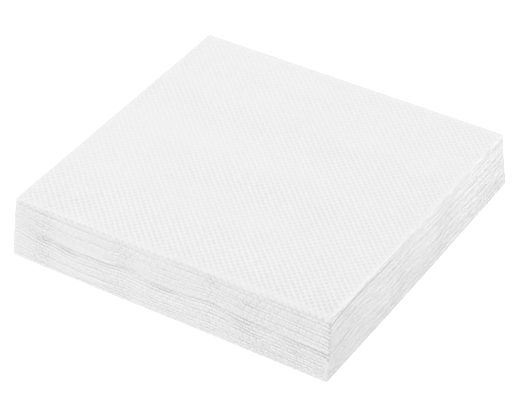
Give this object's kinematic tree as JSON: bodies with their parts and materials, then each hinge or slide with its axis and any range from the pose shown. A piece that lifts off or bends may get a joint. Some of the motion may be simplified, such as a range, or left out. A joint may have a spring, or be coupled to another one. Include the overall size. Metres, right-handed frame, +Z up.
{
  "type": "stack of paper napkins",
  "caption": "Square stack of white embossed paper napkins, each folded in four, with soft folds on two sides and cut edges on the other two.",
  "frame": {"origin": "middle of the footprint of the bottom napkin, on the surface that the stack rests on", "axes": "+Z up through the stack; -Y towards the last folds, -X towards the first folds, +X and +Y towards the cut edges"},
  "size_m": [0.1667, 0.167, 0.0314],
  "materials": {
    "tissue": "matte two-ply tissue with a fine dot embossing"
  },
  "bodies": {
    "root": {"napkin_01": "tissue", "napkin_02": "tissue", "napkin_03": "tissue", "napkin_04": "tissue", "napkin_05": "tissue", "napkin_06": "tissue", "napkin_07": "tissue", "napkin_08": "tissue", "napkin_09": "tissue", "napkin_10": "tissue", "napkin_11": "tissue", "napkin_12": "tissue", "napkin_13": "tissue", "napkin_14": "tissue", "napkin_15": "tissue", "napkin_16": "tissue", "napkin_17": "tissue", "napkin_18": "tissue", "napkin_19": "tissue", "napkin_20": "tissue"}
  },
  "joints": []
}
